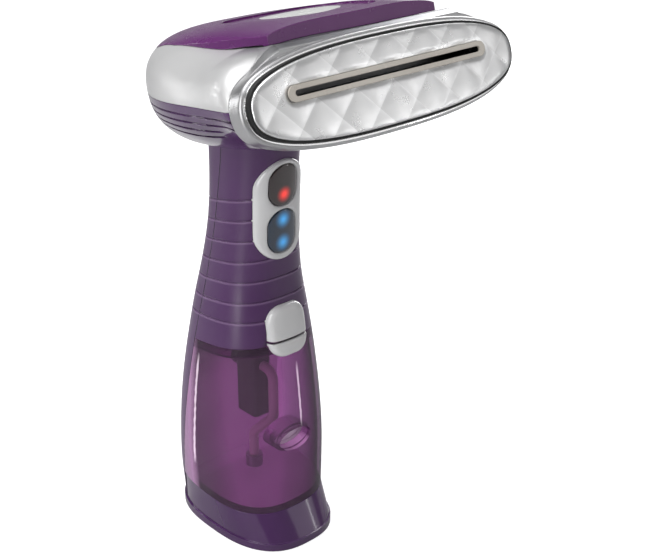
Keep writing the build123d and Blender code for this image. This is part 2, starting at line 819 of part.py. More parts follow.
def tank_coupling():
    """Flanged spigot through the spine, with an upright leg for the hose."""
    front, bore_front = SPINE_Y - 8.0, SPINE_Y - 9.0
    with BuildPart() as built:
        add(rod(rear_plane(front, SPIGOT_Z), SPIGOT_R, 24.0 - front))
        add(rod(rear_plane(SPINE_Y + 4.4, SPIGOT_Z), 7.2, 2.0))
        add(rod(up_plane(0, LEG_Y, SPIGOT_Z), 2.4, 8.0))
        add(rod(rear_plane(bore_front, SPIGOT_Z), 1.5, LEG_Y + 1.0 - bore_front),
            mode=Mode.SUBTRACT)
        add(rod(up_plane(0, LEG_Y, SPIGOT_Z), 1.3, 9.0), mode=Mode.SUBTRACT)
        # groove for the seal
        add(tube(rear_plane(SPINE_Y - 5.6, SPIGOT_Z), SPIGOT_R + 1, SPIGOT_R - 1.0, 1.8),
            mode=Mode.SUBTRACT)
    return built.part


def coupling_seal():
    return tube(rear_plane(SPINE_Y - 5.55, SPIGOT_Z), SPIGOT_R + 0.02, SPIGOT_R - 0.95, 1.7)


# ======================= RELEASE LATCH =======================
BUTTON_BOTTOM = 112.3                  # lower edge of the button, above the latch tab
LATCH_PROUD = 2.6
SPRING_Z = 120.5


def release_button():
    with BuildPart() as built:
        add(grip_shell(LATCH_PROUD, 3.4))
        add(button_pill(), mode=Mode.INTERSECT)
        add(slab(BUTTON_BOTTOM, 60), mode=Mode.INTERSECT)
        # stem towards the spring, and a plate at its root
        add(bar(rear_plane(-29.5, SPRING_Z), 8.0, 6.0, 9.0))
        add(bar(rear_plane(-31.0, SPRING_Z), 19.0, 9.0, 2.0))
    return built.part


def release_spring():
    with BuildPart() as built:
        with BuildLine() as coil:
            Helix(pitch=1.6, height=5.9, radius=2.6, center=(0, -20.05, SPRING_Z),
                  direction=(0, 1, 0))
        wire = coil.wires()[0]
        with BuildSketch(Plane(origin=wire @ 0, z_dir=wire % 0)):
            Circle(0.35)
        sweep(is_frenet=True)
    return built.part


def spring_seat():
    return bar(rear_plane(-13.6, SPRING_Z), 12.0, 9.0, 2.0)


def latch_tab():
    """Raised tab on the tank below the button."""
    with BuildPart() as built:
        add(grip_loft(-LATCH_PROUD))
        add(grip_outer, mode=Mode.SUBTRACT)
        add(button_pill(), mode=Mode.INTERSECT)
        add(slab(BUTTON_BOTTOM - 1.3, -60), mode=Mode.INTERSECT)
    return built.part


# ======================= WATER TANK =======================
TANK_WALL = 2.0
TANK_TOP = TOP_SEAM_Z - GAP
CAP_HEIGHT = 4.6
PLUG_Z = 57.0
PLUG_FRONT = -29.2
PIPE_R, PIPE_BORE, PIPE_BEND = 2.5, 1.4, 5.5
FILTER_Y, FILTER_Z = -2.2, 27.0
PIPE_POINTS = [
    (0, -11.05, SPIGOT_Z), (0, -18.8, SPIGOT_Z), (0, -18.8, 62.0),
    (0, FILTER_Y, 46.0), (0, FILTER_Y, 33.1),
]

tank_front = seam_block(-GAP - SEAM_HALF_GAP, FRONT)
void_front = seam_block(-2.3, FRONT)


def tank_shell():
    with BuildPart() as void:
        add(grip_loft(TANK_WALL))
        add(void_front, mode=Mode.INTERSECT)
        add(slab(BOT_SEAM_Z + GAP + 2.2, 160, BOT_SEAM_TILT), mode=Mode.INTERSECT)
    with BuildPart() as built:
        add(grip_outer)
        add(tank_front, mode=Mode.INTERSECT)
        add(slab(BOT_SEAM_Z + GAP, 160, BOT_SEAM_TILT), mode=Mode.INTERSECT)
        add(slab(TANK_TOP - CAP_HEIGHT, -200, TOP_SEAM_TILT), mode=Mode.INTERSECT)
        add(void.part, mode=Mode.SUBTRACT)
        # recessed boss for the fill plug
        add(ellipse_bar(rear_plane(-33.0, PLUG_Z), 11.5, 7.0, 9.0))
        add(ellipse_bar(rear_plane(-50.0, PLUG_Z), 10.0, 5.5, 23.0), mode=Mode.SUBTRACT)
        add(rod(rear_plane(-50.0, PLUG_Z), 4.05, 30.0), mode=Mode.SUBTRACT)
        # outlet bore in the rear wall
        add(rod(rear_plane(0, SPIGOT_Z), SPIGOT_R + 0.6, 30.0), mode=Mode.SUBTRACT)
    return built.part


def tank_cap():
    """Thin moulded lid, open underneath."""
    with BuildPart() as built:
        add(grip_outer)
        add(tank_front, mode=Mode.INTERSECT)
        add(slab(TANK_TOP, -200, TOP_SEAM_TILT), mode=Mode.INTERSECT)
        add(slab(TANK_TOP - CAP_HEIGHT + 0.05, 200, TOP_SEAM_TILT), mode=Mode.INTERSECT)
        add(grip_loft(TANK_WALL) & void_front & slab(TANK_TOP - 2.0, -60, TOP_SEAM_TILT),
            mode=Mode.SUBTRACT)
    return built.part


def fill_plug():
    """Oval plug with a round stem and a bar across its dished front."""
    with BuildPart() as built:
        add(ellipse_bar(rear_plane(PLUG_FRONT, PLUG_Z), 9.6, 5.1, 2.2))
        add(rod(rear_plane(PLUG_FRONT + 2.2, PLUG_Z), 4.0, 5.0))
        add(ellipse_bar(rear_plane(PLUG_FRONT, PLUG_Z), 7.6, 3.4, 0.5), mode=Mode.SUBTRACT)
        add(slot_bar(rear_plane(-28.5, PLUG_Z), 9.0, 1.6, -1.3))
    return built.part


def tank_valve():
    """Valve block at the tank outlet."""
    with BuildPart() as built:
        add(rounded_bar(up_plane(0, -3.5, 60.0), 11.0, 15.0, 2.0, 36.0))
        add(rod(rear_plane(-3.0, SPIGOT_Z), 5.3, SPINE_Y - 3.6 + 3.0))
        add(rod(rear_plane(-2.0, SPIGOT_Z), SPIGOT_R + 0.06, 30.0), mode=Mode.SUBTRACT)
        add(rod(rear_plane(-12.0, SPIGOT_Z), 1.4, 12.0), mode=Mode.SUBTRACT)
    return built.part


def pipe_run(radius):
    with BuildPart() as built:
        with BuildLine() as path:
            FilletPolyline(*PIPE_POINTS, radius=PIPE_BEND)
        wire = path.wires()[0]
        with BuildSketch(Plane(origin=wire @ 0, z_dir=wire % 0)):
            Circle(radius)
        sweep()
    return built.part


def intake_tube():
    """S-shaped tube from the valve down to the filter."""
    with BuildPart() as built:
        add(pipe_run(PIPE_R))
        add(pipe_run(PIPE_BORE), mode=Mode.SUBTRACT)
    return built.part


def intake_filter():
    with BuildPart() as built:
        add(rod(up_plane(0, FILTER_Y, FILTER_Z), 4.4, 6.0))
        with BuildSketch(Plane.XY.offset(FILTER_Z)):
            with Locations((0, FILTER_Y)):
                with PolarLocations(3.0, 8):
                    Rectangle(1.9, 0.7)
                Circle(1.1)
        extrude(amount=5.0, mode=Mode.SUBTRACT)
    return built.part


# ======================= FOOT =======================
# foot outlines: half width, front y, rear y
FOOT_BASE = (30.0, -45.5, 39.5)
FOOT_TOP = (30.6, -37.0, 36.9)
FOOT_HOLLOW = (26.0, -33.0, 17.0)
FOOT_BOTTOM, RIM_TOP = 0.6, 4.5
PAD_PLACES = ((14, -37.2), (-14, -37.2), (18, 29.0), (-18, 29.0))     # x, y
PAD_R, PAD_H = 4.0, 2.2
FOOT_SCREW_PLACES = ((0, -24.0), (-15.0, 7.0), (15.0, 7.0))           # x, y
COUNTERBORE = 1.3


def foot_outline(size, inset=0.0):
    half_width, front, rear = size
    return outline(half_width - inset, front + inset, rear - inset, count=24)


def foot():
    with BuildPart() as built:
        add(prism(Plane.XY.offset(FOOT_BOTTOM), foot_outline(FOOT_BASE), RIM_TOP - FOOT_BOTTOM))
        add(loft_outlines([
            (Plane.XY.offset(RIM_TOP), foot_outline(FOOT_BASE, 0.7)),
            (tilted_plane(0.4, BOT_SEAM_Z, 90.0 + BOT_SEAM_TILT), foot_outline(FOOT_TOP)),
        ]))
        # socket for the spine
        add(grip_loft(-0.1) & seam_block(0.0, REAR) & slab(4.9, 60), mode=Mode.SUBTRACT)
        # way out for the cord bushing
        add(rod(rear_plane(30, CORD_Z), CORD_HOLE_R, 30), mode=Mode.SUBTRACT)
        # hollow underside
        add(prism(Plane.XY.offset(-1), foot_outline(FOOT_HOLLOW), 14.0), mode=Mode.SUBTRACT)
        for x, y in PAD_PLACES:
            add(rod(up_plane(x, y, 0), PAD_R + 0.1, PAD_H), mode=Mode.SUBTRACT)
    return largest(built.part)


def foot_pads():
    with BuildPart() as built:
        for x, y in PAD_PLACES:
            add(rod(up_plane(x, y, 0), PAD_R, PAD_H))
    return built.part


def foot_cover():
    """Bottom cover with screw posts, counterbored for the screw heads."""
    with BuildPart() as built:
        add(prism(Plane.XY, foot_outline(FOOT_HOLLOW, 0.1), 2.2))
        for x, y in FOOT_SCREW_PLACES:
            add(rod(up_plane(x, y, 2.0), 3.2, 11.0))
            add(rod(up_plane(x, y, 0), 1.3, 11.0), mode=Mode.SUBTRACT)
            add(rod(up_plane(x, y, 0), 2.75, COUNTERBORE), mode=Mode.SUBTRACT)
    return built.part


def foot_screws():
    head_h = 0.9
    with BuildPart() as built:
        for x, y in FOOT_SCREW_PLACES:
            add(rod(up_plane(x, y, COUNTERBORE), 1.25, 8.7))
            add(rod(up_plane(x, y, COUNTERBORE - head_h), 2.6, head_h))
    return built.part


# ======================= CORD =======================
CORD_R = 3.2


def cord_bushing():
    """Sleeve with three grooves round its rear end."""
    with BuildPart() as built:
        add(tube(rear_plane(28.5, CORD_Z), 5.5, CORD_R + 0.05, 15.5))
        for k in range(3):
            add(tube(rear_plane(39.0 + 1.7 * k, CORD_Z), 6.5, 4.6, 0.8), mode=Mode.SUBTRACT)
    return built.part


def power_cord():
    return rod(rear_plane(27.0, CORD_Z), CORD_R, 19.0)


# ======================= EXPORT =======================
# each function's name is the name of its piece
PIECES = (
    steam_plate, slot_frame, plate_gasket, chrome_ring, bezel, head_lower, head_band, top_trim,
    badge_insert, plate_carrier, steam_chamber, chamber_gasket, chamber_cover, chamber_screws,
    heating_element, thermostat, thermal_fuse, handle_front, handle_rear, panel_bezel,
    turbo_button, ready_lens, control_board, indicator_leds, turbo_switch, board_screws, pump,
    pump_mount, lower_hose, upper_hose, tank_coupling, coupling_seal, release_button,
    release_spring, spring_seat, latch_tab, tank_shell, tank_cap, fill_plug, tank_valve,
    intake_tube, intake_filter, foot, foot_pads, foot_cover, foot_screws, cord_bushing,
    power_cord,
)

os.makedirs("parts", exist_ok=True)
for build_piece in PIECES:
    piece = build_piece()
    piece.label = build_piece.__name__
    export_step(piece, "parts/" + piece.label + ".step")
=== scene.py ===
"""Handheld garment steamer, upright along +Z, front towards -Y, X across.

The head sits on top and tilts back, with an oval quilted steam plate on its front.
The grip below it carries the lens panel and the release button, above a clear tank.
Shapes are worked out in millimetres, shader distances and the stage in metres.
"""
import bpy, bmesh, math
import numpy as np
from mathutils import Vector, Matrix
from mathutils.geometry import delaunay_2d_cdt


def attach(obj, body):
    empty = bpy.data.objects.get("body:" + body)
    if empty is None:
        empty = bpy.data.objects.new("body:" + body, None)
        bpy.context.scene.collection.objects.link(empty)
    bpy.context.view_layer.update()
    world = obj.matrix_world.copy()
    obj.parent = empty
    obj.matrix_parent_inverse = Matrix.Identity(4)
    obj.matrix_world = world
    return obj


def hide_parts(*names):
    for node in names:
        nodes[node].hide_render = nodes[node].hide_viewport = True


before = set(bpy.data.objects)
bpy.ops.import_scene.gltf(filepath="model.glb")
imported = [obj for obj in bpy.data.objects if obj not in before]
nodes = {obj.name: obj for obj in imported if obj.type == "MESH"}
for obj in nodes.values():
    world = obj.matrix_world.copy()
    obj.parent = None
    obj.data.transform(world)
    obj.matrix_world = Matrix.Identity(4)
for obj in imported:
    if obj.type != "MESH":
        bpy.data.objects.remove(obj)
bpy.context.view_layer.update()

MM = 0.001

# Head frame: n runs out of the plate, t runs up along it, from the plate's centre
HEAD_Y, HEAD_Z = -98.7, 252.1
HEAD_TILT = math.radians(17.9)
HEAD_COS, HEAD_SIN = math.cos(HEAD_TILT), math.sin(HEAD_TILT)

QUILT_PITCH = 20.4


# ------------------------------------------------------------------
# shader building
# ------------------------------------------------------------------
def srgb(hex_color):
    """Linear RGBA from an sRGB hex string."""
    out = []
    for i in (1, 3, 5):
        c = int(hex_color[i:i + 2], 16) / 255
        out.append(c / 12.92 if c <= 0.04045 else ((c + 0.055) / 1.055) ** 2.4)
    return (*out, 1.0)


class Tree:
    """Node tree of a material or world. Values may be numbers, hex colors or sockets."""

    def __init__(self, owner):
        owner.use_nodes = True
        self.owner = owner
        self.nodes, self.links = owner.node_tree.nodes, owner.node_tree.links
        self.bsdf = self.nodes.get("Principled BSDF")

    def feed(self, node, inputs):
        for key, value in inputs.items():
            if isinstance(value, bpy.types.NodeSocket):
                self.links.new(value, node.inputs[key])
            else:
                node.inputs[key].default_value = srgb(value) if isinstance(value, str) else value

    def node(self, kind, inputs=None, **settings):
        made = self.nodes.new("ShaderNode" + kind)
        for key, value in settings.items():
            setattr(made, key, value)
        self.feed(made, inputs or {})
        return made

    def coords(self):
        return self.node("TexCoord").outputs["Object"]

    def split(self, vector):
        return self.node("SeparateXYZ", {0: vector}).outputs

    def noise(self, co, scale, detail=4.0, roughness=0.55):
        return self.node("TexNoise", {"Scale": scale, "Detail": detail, "Roughness": roughness,
                                      "Vector": co}).outputs["Fac"]

    def remap(self, value, span, to=(0.0, 1.0)):
        return self.node("MapRange", {"From Min": span[0], "From Max": span[1], "To Min": to[0],
                                      "To Max": to[1], "Value": value}).outputs["Result"]

    def math(self, operation, a, b=None):
        inputs = {0: a} if b is None else {0: a, 1: b}
        return self.node("Math", inputs, operation=operation).outputs[0]

    def dot(self, a, b):
        return self.node("VectorMath", {0: a, 1: b}, operation="DOT_PRODUCT").outputs["Value"]

    def mix(self, factor, a, b):
        # sockets 6 and 7 are the color inputs, output 2 the color result
        return self.node("Mix", {0: factor, 6: a, 7: b}, data_type="RGBA").outputs[2]

    def mix_shader(self, factor, a, b):
        return self.node("MixShader", {0: factor, 1: a, 2: b}).outputs[0]

    def add_shader(self, a, b):
        return self.node("AddShader", {0: a, 1: b}).outputs[0]

    def ramp(self, factor, stops):
        """Color ramp; stops are (position, color), from first to last."""
        made = self.node("ValToRGB", {"Fac": factor})
        elements = made.color_ramp.elements
        for element, (position, color) in zip(elements, (stops[0], stops[-1])):
            element.position = position
            element.color = color
        for position, color in stops[1:-1]:
            elements.new(position).color = color
        return made.outputs["Color"]

    def bevel(self, radius):
        """Normal rounded over edges."""
        return self.node("Bevel", {"Radius": radius}, samples=4).outputs["Normal"]

    def edge_mask(self, radius):
        """1 on edges, 0 elsewhere, from the bevelled normal."""
        rounded = self.bevel(radius)
        normal = self.node("NewGeometry").outputs["Normal"]
        return self.remap(self.dot(rounded, normal), span=(0.72, 0.94), to=(1.0, 0.0))

    def bump(self, height, strength, distance, normal=None):
        inputs = {"Strength": strength, "Distance": distance, "Height": height}
        if normal is not None:
            inputs["Normal"] = normal
        return self.node("Bump", inputs).outputs["Normal"]

    def recolor(self, mask, color):
        """Lay a color over the present base color where the mask is 1."""
        old = self.bsdf.inputs["Base Color"].links[0].from_socket
        self.feed(self.bsdf, {"Base Color": self.mix(mask, old, color)})

    def surface(self, shader):
        output = [n for n in self.nodes if n.type == "OUTPUT_MATERIAL"][0]
        self.feed(output, {"Surface": shader})


def new_tree(name):
    return Tree(bpy.data.materials.new(name))


def worn_color(tree, co, medium, colors, worn, cloud_scale, radius, span, wear):
    """Two colors in soft clouds, with a worn color broken up along the edges."""
    clouds = tree.noise(co, cloud_scale, detail=3.0)
    base = tree.mix(tree.remap(clouds, span=(0.3, 0.7)), *colors)
    mask = tree.math("MULTIPLY", tree.edge_mask(radius), tree.remap(medium, span, to=(0.0, wear)))
    return tree.mix(mask, base, worn)


def plastic(name, colors, rough=0.4, coat=0.0, grain=1400.0, grain_depth=0.00002, wear=0.25,
            wear_color=None, speck=0.06):
    """Grained plastic; speck is how far the roughness varies."""
    tree = new_tree(name)
    co = tree.coords()
    fine = tree.noise(co, grain, detail=2.0, roughness=0.6)
    medium = tree.noise(co, 160.0)
    base = worn_color(tree, co, medium, colors, wear_color or colors[1], cloud_scale=22.0,
                      radius=0.0008, span=(0.35, 0.65), wear=wear)
    tree.feed(tree.bsdf, {
        "Base Color": base,
        "Roughness": tree.remap(medium, span=(0.25, 0.75), to=(rough - speck, rough + speck)),
        "Coat Weight": coat,
        "Coat Roughness": 0.06,
        "Normal": tree.bump(fine, strength=0.5, distance=grain_depth, normal=tree.bevel(0.0005)),
    })
    return tree.owner


def metal(name, colors=None, rough=0.25, metallic=1.0, grain_depth=0.00001, coat=0.0, wear=0.2,
          edge=0.0005):
    """Metal or metallic paint; without colors the base color is left to the caller."""
    tree = new_tree(name)
    co = tree.coords()
    fine = tree.noise(co, 2200.0, detail=2.0, roughness=0.5)
    medium = tree.noise(co, 120.0, detail=5.0)
    if colors:
        base = worn_color(tree, co, medium, colors, "#ffffff", cloud_scale=30.0,
                          radius=0.0006, span=(0.3, 0.7), wear=wear)
        tree.feed(tree.bsdf, {"Base Color": base})
    rounded = tree.bevel(edge) if edge else None
    tree.feed(tree.bsdf, {
        "Metallic": metallic,
        "Roughness": tree.remap(medium, span=(0.25, 0.75), to=(rough * 0.95, rough * 1.06)),
        "Coat Weight": coat,
        "Normal": tree.bump(fine, strength=0.35, distance=grain_depth, normal=rounded),
    })
    return tree.owner


def from_head_centre(tree, axes):
    """Y and Z measured from the plate's centre."""
    return (tree.math("ADD", axes["Y"], -HEAD_Y * MM), tree.math("ADD", axes["Z"], -HEAD_Z * MM))


def head_t(tree, y, z):
    return tree.math("ADD", tree.math("MULTIPLY", y, HEAD_SIN), tree.math("MULTIPLY", z, HEAD_COS))


# ------------------------------------------------------------------
# materials with their own patterns
# ------------------------------------------------------------------
# Grip rings: height of each groove on the axis, in mm, lowest first
RING_HEIGHTS = (119.5, 128.8, 138.6, 148.4, 158.2, 168.0, 177.8)
RING_TILT, RING_TILT_STEP = 5.0, 1.1    # degrees
# Seam between the grip halves: a plane through (y, z), in mm, leaning by the slope
SEAM_NORMAL = (0, 0.98819, 0.15317)
SEAM_Y, SEAM_Z, SEAM_SLOPE = 8.0, 106.0, 0.155


def grip_material():
    """Purple grip with a painted highlight under every ring and a dark seam."""
    material = plastic("grip_purple", ("#452252", "#4b2858"), rough=0.33, coat=0.08, grain=900,
                       grain_depth=0.000004, wear=0.0, wear_color="#8d6c9a", speck=0.015)
    tree = Tree(material)
    co = tree.coords()
    ring_highlights = None
    for i, height in enumerate(RING_HEIGHTS):
        tilt = math.radians(RING_TILT + i * RING_TILT_STEP)
        level = tree.dot(co, (0, math.sin(tilt), math.cos(tilt)))
        groove = height * MM * math.cos(tilt)
        rise = tree.remap(level, span=(groove - 0.0011, groove - 0.0001))
        fall = tree.remap(level, span=(groove + 0.00002, groove + 0.0002), to=(1.0, 0.0))
        ring_highlight = tree.math("MULTIPLY", rise, fall)
        ring_highlights = ring_highlight if ring_highlights is None else tree.math("MAXIMUM", ring_highlights, ring_highlight)
    seam_offset = (SEAM_Y + SEAM_SLOPE * SEAM_Z) * SEAM_NORMAL[1] * MM
    away = tree.math("ABSOLUTE", tree.math("SUBTRACT", tree.dot(co, SEAM_NORMAL), seam_offset))
    tree.recolor(tree.remap(away, span=(0.00012, 0.00042), to=(1.0, 0.0)), "#1a0c20")
    # painted highlight: a light line just under each ring groove
    tree.recolor(tree.math("MULTIPLY", ring_highlights, 0.55), "#8f7299")
    return material


def paint_step_shade(material):
    """Painted shade: darker grey on the raised step between the trim and the plate."""
    tree = Tree(material)
    axes = tree.split(tree.coords())
    y, z = from_head_centre(tree, axes)
    n = tree.math("ADD", tree.math("MULTIPLY", y, -HEAD_COS), tree.math("MULTIPLY", z, HEAD_SIN))
    t = head_t(tree, y, z)
    across = tree.math("ABSOLUTE", axes["X"])
    mask = tree.remap(n, span=(-0.0076, -0.0062), to=(1.0, 0.0))
    for limit in (tree.remap(t, span=(0.0175, 0.0200)),
                  tree.remap(n, span=(-0.030, -0.027)),
                  tree.remap(across, span=(0.044, 0.060), to=(1.0, 0.15))):
        mask = tree.math("MULTIPLY", mask, limit)
    # painted shade under the trim's front, fading towards the ends
    tree.recolor(mask, "#606064")
    return material


def plate_material():
    """Polished metal with painted shading: each diamond of the quilt shades from one crease to the
    next, as if lit from one side.
    """
    material = metal("plate_polished", rough=0.28, metallic=0.8, grain_depth=0.000004, edge=None)
    tree = Tree(material)
    co = tree.coords()
    axes = tree.split(co)
    t = head_t(tree, *from_head_centre(tree, axes))
    painted_falloffs = []
    for operation, weight in (("ADD", 0.5), ("SUBTRACT", 0.4)):
        diagonal = tree.math(operation, axes["X"], t)
        part = tree.math("FRACT", tree.math("DIVIDE", diagonal, QUILT_PITCH * MM))
        painted_falloffs.append(tree.math("MULTIPLY", part, weight))
    painted_shading = tree.math("ADD", tree.math("ADD", *painted_falloffs),
                      tree.math("MULTIPLY", tree.noise(co, 300.0), 0.1))
    # painted shading of the pillows, with a little random tone
    tree.feed(tree.bsdf, {"Base Color": tree.mix(painted_shading, "#c8c8c8", "#f4f4f4")})
    return material


def slot_material():
    """White frame, with painted shade on its walls below the front face."""
    material = plastic("slot_white", ("#b9b2a8", "#c6c0b6"), rough=0.25, coat=0.3, grain=900,
                       grain_depth=0.00001)
    tree = Tree(material)
    normal = (0, -0.95159, 0.30736)    # out of the plate
    out = tree.dot(tree.coords(), normal)
    face = (HEAD_Y * normal[1] + HEAD_Z * normal[2]) * MM
    # painted shade: near black on the walls behind the front face, inside the slot
    tree.recolor(tree.remap(out, span=(face - 0.0009, face + 0.0001), to=(1.0, 0.0)), "#100f0e")
    return material


def painted_glint(tree, normal, place, facing, width, bottom, top, axis, limit):
    """Mask of a painted highlight: a narrow upright line where the wall faces one way, below a
    limit on one axis.
    """
    x, y = facing
    sideways = tree.math("ABSOLUTE", tree.dot(normal, (-y, x, 0.0)))
    result = tree.remap(sideways, span=(width * 0.5, width), to=(1.0, 0.0))
    for mask in (tree.remap(tree.dot(normal, (x, y, 0.0)), span=(0.5, 0.6)),
                 tree.remap(place["Z"], span=(bottom, bottom + 0.006)),
                 tree.remap(place["Z"], span=(top - 0.006, top), to=(1.0, 0.0)),
                 tree.remap(place[axis], span=(limit - 0.002, limit), to=(1.0, 0.0))):
        result = tree.math("MULTIPLY", result, mask)
    return result


def tank_material(name, clear, edge, body, glowing_veil, painted_glints=()):
    """Clear tinted wall, darker towards grazing view; the veil sets how milky its rear is, and the
    milky part glows as painted light.
    """
    tree = new_tree(name)
    co = tree.coords()
    facing = tree.node("LayerWeight", {"Blend": 0.42}).outputs["Facing"]
    tint = tree.ramp(facing, ((0.22, srgb(clear)), (0.86, srgb(edge))))
    see_through = tree.node("BsdfTransparent", {"Color": tint}).outputs[0]

    base = tree.mix(tree.remap(tree.noise(co, 18.0), span=(0.3, 0.7), to=(0.0, 0.25)), body, edge)
    base = tree.mix(tree.remap(facing, span=(0.3, 0.95), to=(0.0, 0.9)), base, edge)
    tree.feed(tree.bsdf, {
        "Base Color": base,
        # painted light: the milky wall glows in its own colour, standing in for light scattered in
        # the plastic
        "Emission Color": base,
        "Emission Strength": 1.15,
        "Coat Weight": 0.3,
        "Coat Roughness": 0.02,
        "Roughness": tree.remap(tree.noise(co, 90.0), span=(0.3, 0.7), to=(0.03, 0.09)),
        "Normal": tree.bump(tree.noise(co, 60.0, detail=2.0), strength=0.15, distance=0.00006,
                            normal=tree.bevel(0.0005)),
    })

    # reflection, stronger at grazing view and only on the outer side
    grazing = tree.node("LayerWeight", {"Blend": 0.5}).outputs["Facing"]
    grazing = tree.math("POWER", grazing, 4.0)
    geometry = tree.node("NewGeometry").outputs
    front = tree.remap(geometry["Backfacing"], span=(0.0, 1.0), to=(1.0, 0.0))
    reflection = tree.math("MULTIPLY",
                           tree.remap(grazing, span=(0.0, 1.0), to=(0.03, 0.5)), front)
    gloss = tree.node("BsdfGlossy", {"Roughness": 0.03, "Color": (0.9, 0.85, 0.92, 1)}).outputs[0]

    # milky veil, glowing as painted light, on the rear part and on faces that look up
    place = tree.split(co)
    normal = tree.split(geometry["Normal"])
    milky_glow = tree.math("MAXIMUM", tree.remap(place["Y"], span=(0.004, 0.010), to=(0.05, glowing_veil)),
                      tree.remap(normal["Z"], span=(0.6, 0.9), to=(0.05, glowing_veil * 0.8)))
    milky_glow = tree.math("MULTIPLY", milky_glow, front)
    shader = tree.mix_shader(milky_glow, see_through, tree.bsdf.outputs[0])
    shader = tree.mix_shader(reflection, shader, gloss)
    # painted highlights: glowing lines added on top of the wall
    for strength, line in painted_glints:
        mask = tree.math("MULTIPLY", painted_glint(tree, geometry["Normal"], place, **line), front)
        light = tree.node("Emission", {"Color": (1.0, 0.86, 0.97, 1),
                                       "Strength": tree.math("MULTIPLY", mask, strength)})
        shader = tree.add_shader(shader, light.outputs[0])
    tree.surface(shader)
    return tree.owner


def lens_material(name, colors, glow, lamps):
    """Dark glossy lens lit from behind; lamps are (place, radius, strength)."""
    tree = new_tree(name)
    co = tree.coords()
    total = None
    base = tree.mix(tree.noise(co, 60.0), *colors)
    for place, radius, strength in lamps:
        offset = tree.node("VectorMath", {0: co, 1: place}, operation="SUBTRACT")
        distance = tree.node("VectorMath", {0: offset.outputs["Vector"]}, operation="LENGTH")
        near = tree.remap(distance.outputs["Value"], span=(0.0, radius * 1.7), to=(1.0, 0.0))
        spot = tree.math("MULTIPLY", tree.math("POWER", near, 2.2), strength)
        total = spot if total is None else tree.math("ADD", total, spot)
    tree.feed(tree.bsdf, {"Base Color": base, "Roughness": 0.08, "Coat Weight": 1.0,
                          "Coat Roughness": 0.03, "Emission Color": glow,
                          "Emission Strength": total})
    return tree.owner


def lamp_material():
    tree = new_tree("lamp_clear")
    grain = tree.noise(tree.coords(), 900.0)
    tree.feed(tree.bsdf, {"Base Color": "#e8b0a8", "Roughness": 0.1,
                          "Normal": tree.bump(grain, strength=0.2, distance=0.00001)})
    return tree.owner


def floor_material():
    """Pale matte floor that glows towards the camera only."""
    tree = new_tree("floor_pale")
    grain = tree.noise(tree.coords(), 200.0)
    tree.feed(tree.bsdf, {"Base Color": (0.5, 0.5, 0.505, 1), "Roughness": 0.7,
                          "Normal": tree.bump(grain, strength=0.05, distance=0.0002)})
    matte = tree.bsdf.outputs[0]
    camera_ray = tree.node("LightPath").outputs["Is Camera Ray"]
    glow = tree.node("Emission", {"Color": (1, 1, 1, 1), "Strength": 0.78}).outputs[0]
    tree.surface(tree.mix_shader(camera_ray, matte, tree.add_shader(matte, glow)))
    return tree.owner


# ------------------------------------------------------------------
# a material for every piece
# ------------------------------------------------------------------
def paint(material, *pieces):
    """Give the pieces this material alone."""
    for piece in pieces:
        mesh = nodes[piece].data
        mesh.materials.clear()
        mesh.materials.append(material)
        for polygon in mesh.polygons:
            polygon.material_index = 0
    return material


paint(grip_material(), "handle_front", "handle_rear")
paint(plastic("gloss_purple", ("#3f1f4d", "#482556"), rough=0.16, coat=0.45, grain=500,
              grain_depth=0.000006, wear=0.4, wear_color="#85589a", speck=0.03),
      "head_lower", "foot")
paint(plastic("trim_purple", ("#521a58", "#5a1f60"), rough=0.26, coat=0.15, grain=500,
              grain_depth=0.000005, wear=0.5, wear_color="#a566aa", speck=0.03),
      "top_trim")
SILVER = paint(paint_step_shade(metal("silver_paint", ("#c2c2c2", "#c8c8c8"), rough=0.4, metallic=0.4,
                                coat=0.05, grain_depth=0.000012)),
               "head_band")
BEZEL = paint(paint_step_shade(metal("bezel_silver", ("#a9a9aa", "#b2b2b3"), rough=0.3, metallic=0.8,
                               coat=0.1, edge=0.0007)),
              "bezel")
paint(metal("chrome", ("#eeeeee", "#f6f6f6"), rough=0.05, wear=0.0), "chrome_ring")
PLATE = paint(plate_material(), "steam_plate")
paint(slot_material(), "slot_frame")
paint(plastic("badge_white", ("#cfd1ce", "#dadbd8"), rough=0.25, coat=0.3, grain=900,
              grain_depth=0.000006),
      "badge_insert")
PEARL = paint(plastic("button_pearl", ("#cccccc", "#d5d5d5"), rough=0.2, coat=0.4, grain=900,
                      grain_depth=0.000006),
              "panel_bezel", "release_button", "latch_tab")
paint(plastic("black_silicone", ("#0b0b0c", "#131314"), rough=0.55, grain=1600,
              grain_depth=0.00003, wear=0.1, wear_color="#2a2a2b"),
      "plate_gasket", "chamber_gasket", "pump_mount", "coupling_seal", "foot_pads",
      "cord_bushing", "power_cord")
paint(plastic("black_plastic", ("#0e0d10", "#161518"), rough=0.35, grain=1500,
              grain_depth=0.00003, wear_color="#333336"),
      "plate_carrier", "pump", "turbo_switch", "tank_coupling", "spring_seat", "tank_valve",
      "foot_cover")
paint(metal("cast_aluminium", ("#a3a3a5", "#b4b4b5"), rough=0.5, grain_depth=0.00006),
      "chamber_cover")
# painted shade: the steam chamber behind the slot is coloured near black so the slot reads dark
paint(metal("cast_painted_shade", ("#1b1b1d", "#242426"), rough=0.6, metallic=0.6, grain_depth=0.00006),
      "steam_chamber")
paint(metal("plain_steel", ("#9a9a9c", "#a8a8aa"), rough=0.3),
      "chamber_screws", "heating_element", "thermostat", "thermal_fuse", "board_screws",
      "release_spring", "intake_filter", "foot_screws")
paint(plastic("board_green", ("#0c3a1c", "#134a26"), rough=0.35, coat=0.3), "control_board")
paint(plastic("hose_silicone", ("#c9c3b7", "#d6d1c6")), "lower_hose", "upper_hose", "intake_tube")
paint(plastic("plug_pale", ("#d9c3d8", "#e6d3e4"), rough=0.45), "fill_plug")
